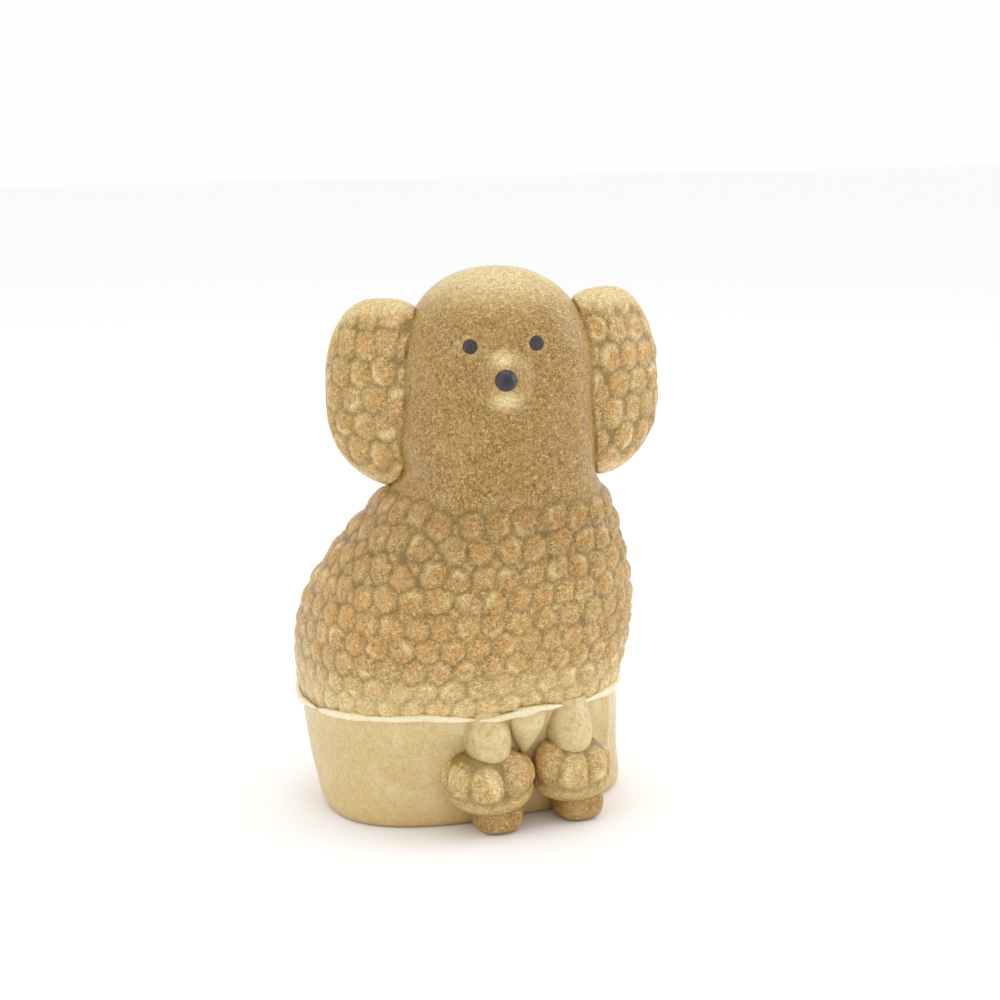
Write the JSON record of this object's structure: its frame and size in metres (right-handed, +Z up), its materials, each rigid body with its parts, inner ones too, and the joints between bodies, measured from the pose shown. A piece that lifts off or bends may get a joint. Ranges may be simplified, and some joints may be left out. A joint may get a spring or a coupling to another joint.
{
  "type": "figurine",
  "caption": "Seated poodle figurine in hollow slip-cast stoneware with a curly relief coat, smooth head, flap ears and a speckled honey-brown glaze",
  "frame": {"origin": "centre of the bounding box in plan, on the face the figurine rests on", "axes": "+Z up, the dog's body faces -Y, +X is the dog's left"},
  "size_m": [0.0818, 0.0786, 0.1265],
  "materials": {
    "curl_glaze": "satin speckled honey-brown glaze over relief curls, cream on the high rims",
    "speckled_glaze": "satin honey-brown glaze with fine cream and brown speckle",
    "smooth_glaze": "satin pale tan speckled glaze",
    "cream_slip": "glossy raised cream slip line",
    "dark_underglaze": "satin charcoal painted underglaze"
  },
  "bodies": {
    "root": {"floor_plate": "smooth_glaze", "lower_body": "smooth_glaze", "coat": "curl_glaze", "coat_edge_bead": "cream_slip", "head": "speckled_glaze", "muzzle": "speckled_glaze", "nose": "dark_underglaze", "right_eye": "dark_underglaze", "left_eye": "dark_underglaze", "right_ear": "curl_glaze", "left_ear": "curl_glaze", "right_foreleg": "smooth_glaze", "left_foreleg": "smooth_glaze", "right_cuff": "curl_glaze", "left_cuff": "curl_glaze", "right_paw": "smooth_glaze", "left_paw": "smooth_glaze", "chest_tuft": "smooth_glaze", "tail_stem": "smooth_glaze", "tail_pompom": "curl_glaze"}
  },
  "joints": []
}
